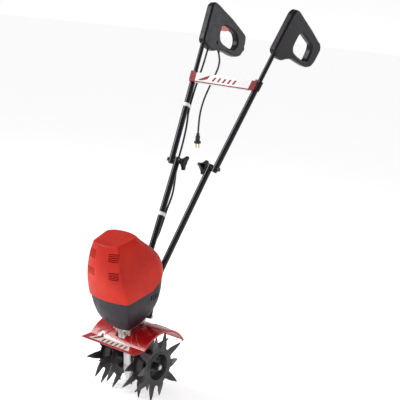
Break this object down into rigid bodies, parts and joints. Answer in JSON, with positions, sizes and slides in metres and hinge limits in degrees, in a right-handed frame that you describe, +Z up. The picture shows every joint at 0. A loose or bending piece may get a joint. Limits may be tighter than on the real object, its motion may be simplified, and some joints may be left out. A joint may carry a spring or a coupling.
{
  "type": "tiller",
  "caption": "Corded electric garden tiller with toothed star wheels under a red guard, a vented motor cowl and folding twin handles with loop grips.",
  "frame": {"origin": "centre of the bounding box's bottom, on the ground under the machine, without the supply lead and its plug", "axes": "+X to the operator's left along the tine axle, +Y back towards the operator, +Z up"},
  "size_m": [0.382, 0.8912, 1.3232],
  "materials": {
    "red_housing": "satin gloss",
    "red_guard": "gloss",
    "charcoal_housing": "fine texture",
    "motor_steel": "laminated steel",
    "copper": "enamelled copper",
    "bright_steel": "zinc plated",
    "ground_steel": "ground",
    "gear_bronze": "machined bronze",
    "seal_rubber": "matt",
    "cast_aluminium": "die cast",
    "tine_paint": "black paint, worn",
    "handle_paint": "gloss black",
    "brace_paint": "white paint",
    "black_plastic": "satin",
    "trigger_red": "gloss",
    "cord_sheath": "satin",
    "plug_brass": "plated",
    "white_plastic": "satin"
  },
  "bodies": {
    "base": {"cowl": "red_housing", "lower_housing": "charcoal_housing", "stator_core": "motor_steel", "field_windings": "copper", "motor_end_plate": "motor_steel", "upper_motor_bracket": "motor_steel", "motor_fasteners": "bright_steel", "bearings": "ground_steel", "oil_seals": "seal_rubber", "brush_gear": "black_plastic", "electrical_block": "black_plastic", "gear_case_left": "cast_aluminium", "gear_case_right": "cast_aluminium", "base_fasteners": "bright_steel", "axle_bushings": "gear_bronze", "tine_guard": "red_guard", "handle_bracket": "handle_paint", "lower_handles": "handle_paint", "fold_bolts": "bright_steel", "fold_washers": "seal_rubber", "motor_cord_lower": "cord_sheath", "cord_gland": "seal_rubber", "cord_clip_lower": "white_plastic"},
    "motor_rotor": {"motor_shaft": "ground_steel", "armature": "motor_steel", "cooling_fan": "black_plastic", "commutator": "copper", "drive_coupling": "ground_steel", "worm_shaft": "ground_steel"},
    "tines": {"tine_axle": "ground_steel", "worm_wheel": "gear_bronze", "tine_wheel_outer_left": "tine_paint", "tine_wheel_inner_left": "tine_paint", "tine_wheel_inner_right": "tine_paint", "tine_wheel_outer_right": "tine_paint", "hitch_pins": "bright_steel"},
    "folding_handles": {"upper_handles": "handle_paint", "grip_tubes": "handle_paint", "tube_collars": "black_plastic", "cross_brace": "brace_paint", "brace_screws": "bright_steel", "plain_grip_inner_shell": "black_plastic", "plain_grip_outer_shell": "black_plastic", "switch_grip_inner_shell": "black_plastic", "switch_grip_outer_shell": "black_plastic", "grip_screws": "bright_steel", "switch_module": "black_plastic", "trigger_pin": "bright_steel", "trigger_spring": "bright_steel", "cord_hook": "black_plastic", "strain_relief": "seal_rubber", "supply_lead": "cord_sheath", "plug_body": "cord_sheath", "plug_prongs": "plug_brass", "motor_cord_upper": "cord_sheath", "cord_clip_upper": "white_plastic"},
    "trigger": {"trigger": "trigger_red"},
    "lock_off_button": {"lock_off_button": "black_plastic"},
    "fold_knob_left": {"fold_knob_left": "black_plastic"},
    "fold_knob_right": {"fold_knob_right": "black_plastic"}
  },
  "joints": [
    {"name": "tine_spin", "type": "hinge", "parent": "base", "child": "tines", "pos_m": [0, -0.23297, 0.11212], "axis": [1, 0, 0], "continuous": true},
    {"name": "motor_spin", "type": "hinge", "parent": "base", "child": "motor_rotor", "pos_m": [0, -0.31237, 0.29741], "axis": [0, -0.2756, 0.9613], "continuous": true},
    {"name": "handle_fold", "type": "hinge", "parent": "base", "child": "folding_handles", "pos_m": [0, -0.01691, 0.76809], "axis": [1, 0, 0], "range_deg": [0, 140]},
    {"name": "trigger_squeeze", "type": "hinge", "parent": "folding_handles", "child": "trigger", "pos_m": [-0.17231, 0.28537, 1.25781], "axis": [0.9912, 0.0565, 0.1196], "range_deg": [0, 6], "stiffness_Nm_per_rad": 0.5, "springref_deg": -5.73},
    {"name": "lock_button_press", "type": "slide", "parent": "folding_handles", "child": "lock_off_button", "axis": [0.9912, 0.0565, 0.1196], "range_m": [0, 0.004], "stiffness_N_per_m": 400, "springref_m": -0.001},
    {"name": "left_knob_turn", "type": "hinge", "parent": "base", "child": "fold_knob_left", "pos_m": [0.06, -0.01691, 0.76809], "axis": [1, 0, 0], "continuous": true},
    {"name": "right_knob_turn", "type": "hinge", "parent": "base", "child": "fold_knob_right", "pos_m": [-0.06, -0.01691, 0.76809], "axis": [1, 0, 0], "continuous": true}
  ],
  "couplings": [
    {"joint": "motor_spin", "follows": "tine_spin", "ratio": 30}
  ]
}
